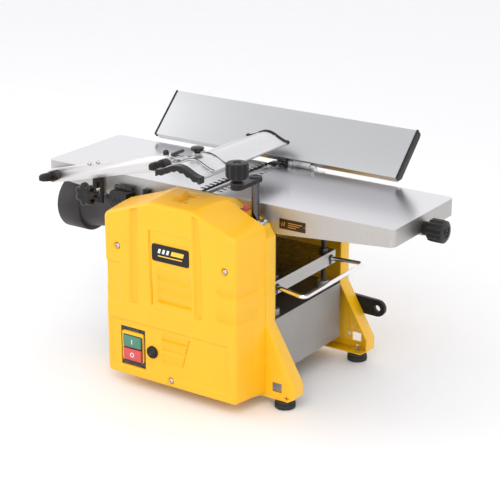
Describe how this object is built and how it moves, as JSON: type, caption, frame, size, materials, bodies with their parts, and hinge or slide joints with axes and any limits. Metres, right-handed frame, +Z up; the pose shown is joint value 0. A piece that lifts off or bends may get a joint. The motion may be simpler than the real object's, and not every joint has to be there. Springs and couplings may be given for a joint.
{
  "type": "thickness planer",
  "caption": "Bench planer-thicknesser: flat tables, tilting fence, sliding cutter guard, cranked thicknessing table, chip hood, enclosed belt drive and pressed side frames on rubber feet.",
  "frame": {"origin": "centre of the bounding box's base, on the surface that the feet stand on", "axes": "+X along the tables towards the infeed end, +Y from the operator's side towards the fence, +Z up"},
  "size_m": [0.8066, 0.4044, 0.45],
  "materials": {
    "yellow_plastic": "satin moulded",
    "yellow_steel": "powder coated",
    "black_plastic": "fine textured",
    "aluminium": "extruded, satin",
    "cast_table": "cast, machined top",
    "motor_case": "painted",
    "grey_sheet": "satin",
    "dark_steel": "blackened and oiled",
    "bright_steel": "ground",
    "chrome": "polished",
    "rubber": "matte",
    "green": "moulded",
    "red": "moulded"
  },
  "bodies": {
    "machine": {"front_side_frame": "yellow_steel", "rear_side_frame": "yellow_steel", "foot_front_left": "rubber", "foot_front_right": "rubber", "foot_rear_left": "rubber", "foot_rear_right": "rubber", "base_box": "grey_sheet", "front_cover": "yellow_plastic", "switch_body": "yellow_plastic", "rear_cover": "yellow_plastic", "head_frame": "dark_steel", "front_bearing": "bright_steel", "rear_bearing": "bright_steel", "drive_belt": "rubber", "motor": "motor_case", "feed_gearbox": "aluminium", "feed_chain": "dark_steel", "outfeed_table": "cast_table", "lift_chain": "dark_steel", "chip_hood": "black_plastic", "fence_bracket": "bright_steel"},
    "start_button": {"start_button": "green"},
    "stop_button": {"stop_button": "red"},
    "reset_button": {"reset_button": "black_plastic"},
    "cutterblock": {"cutterblock": "bright_steel", "knife_1": "bright_steel", "knife_2": "bright_steel", "cutterblock_pulley": "dark_steel"},
    "motor_rotor": {"motor_pulley": "dark_steel"},
    "infeed_roller": {"infeed_roller": "dark_steel"},
    "outfeed_roller": {"outfeed_roller": "dark_steel"},
    "gearbox_sprocket": {"gearbox_sprocket": "dark_steel"},
    "pawls": {"anti_kickback_pawls": "dark_steel"},
    "feed_clutch_lever": {"feed_clutch_lever": "black_plastic"},
    "infeed_table": {"infeed_table": "cast_table"},
    "infeed_knob": {"infeed_knob": "black_plastic"},
    "bed": {"thicknessing_table": "cast_table", "outfeed_support_bar": "chrome"},
    "lift_screw_front_left": {"lift_screw_front_left": "dark_steel"},
    "lift_screw_front_right": {"lift_screw_front_right": "dark_steel"},
    "lift_screw_rear_left": {"lift_screw_rear_left": "dark_steel"},
    "lift_screw_rear_right": {"lift_screw_rear_right": "dark_steel"},
    "crank": {"crank_shaft": "dark_steel", "crank_arm": "black_plastic"},
    "crank_handle": {"crank_handle": "black_plastic"},
    "arm": {"guard_arm": "aluminium", "arm_slot_bracket": "black_plastic"},
    "arm_pivot_lever": {"arm_pivot_lever": "black_plastic"},
    "holder_pivot_lever": {"holder_pivot_lever": "black_plastic"},
    "arm_lock_knob": {"arm_lock_knob": "black_plastic"},
    "holder": {"guard_holder": "aluminium"},
    "guard_clamp_knob": {"guard_clamp_knob": "black_plastic"},
    "guard": {"guard_profile": "aluminium", "guard_handle": "black_plastic", "guard_end_cap": "black_plastic"},
    "fence": {"fence_plate": "aluminium", "fence_cap_left": "black_plastic", "fence_cap_right": "black_plastic", "fence_swing_plate": "dark_steel"},
    "fence_lock_lever": {"fence_lock_lever": "black_plastic"}
  },
  "joints": [
    {"name": "crank_turn", "type": "hinge", "parent": "machine", "child": "crank", "pos_m": [0.10175, -0.10966, 0.403], "axis": [0, 0, 1], "range_deg": [-4608, 11808]},
    {"name": "crank_handle_spin", "type": "hinge", "parent": "crank", "child": "crank_handle", "pos_m": [0.10175, -0.16466, 0.421], "axis": [0, 0, 1], "continuous": true},
    {"name": "bed_lift", "type": "slide", "parent": "machine", "child": "bed", "axis": [0, 0, 1], "range_m": [-0.0321, 0.0821]},
    {"name": "lift_screw_front_left_turn", "type": "hinge", "parent": "machine", "child": "lift_screw_front_left", "pos_m": [-0.13725, -0.07266, 0.134], "axis": [0, 0, 1], "range_deg": [-2885, 7385]},
    {"name": "lift_screw_front_right_turn", "type": "hinge", "parent": "machine", "child": "lift_screw_front_right", "pos_m": [0.11475, -0.07266, 0.134], "axis": [0, 0, 1], "range_deg": [-2885, 7385]},
    {"name": "lift_screw_rear_left_turn", "type": "hinge", "parent": "machine", "child": "lift_screw_rear_left", "pos_m": [-0.13725, 0.09534, 0.134], "axis": [0, 0, 1], "range_deg": [-2885, 7385]},
    {"name": "lift_screw_rear_right_turn", "type": "hinge", "parent": "machine", "child": "lift_screw_rear_right", "pos_m": [0.11475, 0.09534, 0.134], "axis": [0, 0, 1], "range_deg": [-2885, 7385]},
    {"name": "infeed_table_slide", "type": "slide", "parent": "machine", "child": "infeed_table", "axis": [-0.9397, 0, 0.342], "range_m": [-0.00877, 0]},
    {"name": "infeed_knob_turn", "type": "hinge", "parent": "infeed_table", "child": "infeed_knob", "pos_m": [0.36225, 0.01134, 0.335], "axis": [1, 0, 0], "range_deg": [-1090, 0]},
    {"name": "cutterblock_spin", "type": "hinge", "parent": "machine", "child": "cutterblock", "pos_m": [-0.01125, 0.01134, 0.335], "axis": [0, 1, 0], "continuous": true},
    {"name": "motor_spin", "type": "hinge", "parent": "machine", "child": "motor_rotor", "pos_m": [-0.01125, -0.13466, 0.09], "axis": [0, 1, 0], "continuous": true},
    {"name": "infeed_roller_spin", "type": "hinge", "parent": "machine", "child": "infeed_roller", "pos_m": [-0.06125, 0.01134, 0.322], "axis": [0, 1, 0], "continuous": true},
    {"name": "outfeed_roller_spin", "type": "hinge", "parent": "machine", "child": "outfeed_roller", "pos_m": [0.03875, 0.01134, 0.322], "axis": [0, 1, 0], "continuous": true},
    {"name": "gearbox_sprocket_spin", "type": "hinge", "parent": "machine", "child": "gearbox_sprocket", "pos_m": [-0.01125, 0.16034, 0.269], "axis": [0, 1, 0], "continuous": true},
    {"name": "pawls_swing", "type": "hinge", "parent": "machine", "child": "pawls", "pos_m": [-0.08325, 0.01134, 0.315], "axis": [0, 1, 0], "range_deg": [-35, 0]},
    {"name": "feed_clutch", "type": "hinge", "parent": "machine", "child": "feed_clutch_lever", "pos_m": [0.07275, 0.16034, 0.107], "axis": [0, 1, 0], "range_deg": [-35, 0]},
    {"name": "guard_arm_tilt", "type": "hinge", "parent": "machine", "child": "arm", "pos_m": [-0.34425, -0.10866, 0.339], "axis": [0, 1, 0], "range_deg": [-8, 5]},
    {"name": "guard_holder_level", "type": "hinge", "parent": "arm", "child": "holder", "pos_m": [-0.08725, -0.10866, 0.403], "axis": [0, 1, 0], "range_deg": [-6.5, 8.5]},
    {"name": "guard_slide", "type": "slide", "parent": "holder", "child": "guard", "axis": [0, 1, 0], "range_m": [-0.15, 0]},
    {"name": "guard_clamp_turn", "type": "hinge", "parent": "holder", "child": "guard_clamp_knob", "pos_m": [-0.02625, -0.09966, 0.431], "axis": [0, 0, 1], "range_deg": [0, 360]},
    {"name": "arm_pivot_lever_turn", "type": "hinge", "parent": "machine", "child": "arm_pivot_lever", "pos_m": [-0.34425, -0.10866, 0.339], "axis": [0, 1, 0], "range_deg": [-90, 0]},
    {"name": "holder_pivot_lever_turn", "type": "hinge", "parent": "arm", "child": "holder_pivot_lever", "pos_m": [-0.08725, -0.10866, 0.403], "axis": [0, 1, 0], "range_deg": [-90, 0]},
    {"name": "arm_lock_knob_turn", "type": "hinge", "parent": "machine", "child": "arm_lock_knob", "pos_m": [-0.25125, -0.13666, 0.325], "axis": [0, 1, 0], "range_deg": [-360, 0]},
    {"name": "fence_tilt", "type": "hinge", "parent": "machine", "child": "fence", "pos_m": [-0.01125, 0.11964, 0.3661], "axis": [1, 0, 0], "range_deg": [0, 46]},
    {"name": "fence_lock_turn", "type": "hinge", "parent": "machine", "child": "fence_lock_lever", "pos_m": [0.00675, 0.14534, 0.363], "axis": [0, 1, 0], "range_deg": [0, 90]},
    {"name": "start_press", "type": "slide", "parent": "machine", "child": "start_button", "axis": [0, 1, 0], "range_m": [0, 0.004], "stiffness_N_per_m": 300, "springref_m": -0.002},
    {"name": "stop_press", "type": "slide", "parent": "machine", "child": "stop_button", "axis": [0, 1, 0], "range_m": [0, 0.004], "stiffness_N_per_m": 300, "springref_m": -0.002},
    {"name": "reset_press", "type": "slide", "parent": "machine", "child": "reset_button", "axis": [0, 1, 0], "range_m": [0, 0.003], "stiffness_N_per_m": 300, "springref_m": -0.002}
  ],
  "couplings": [
    {"joint": "bed_lift", "follows": "crank_turn", "m_per_rad": 0.00039789},
    {"joint": "lift_screw_front_left_turn", "follows": "crank_turn", "ratio": 0.625},
    {"joint": "lift_screw_front_right_turn", "follows": "crank_turn", "ratio": 0.625},
    {"joint": "lift_screw_rear_left_turn", "follows": "crank_turn", "ratio": 0.625},
    {"joint": "lift_screw_rear_right_turn", "follows": "crank_turn", "ratio": 0.625},
    {"joint": "infeed_knob_turn", "follows": "infeed_table_slide", "rad_per_m": 2149.3},
    {"joint": "motor_spin", "follows": "cutterblock_spin", "ratio": 0.70833},
    {"joint": "infeed_roller_spin", "follows": "cutterblock_spin", "ratio": -0.011111},
    {"joint": "outfeed_roller_spin", "follows": "cutterblock_spin", "ratio": -0.011111},
    {"joint": "gearbox_sprocket_spin", "follows": "cutterblock_spin", "ratio": -0.011111},
    {"joint": "guard_holder_level", "follows": "guard_arm_tilt", "ratio": -1}
  ]
}
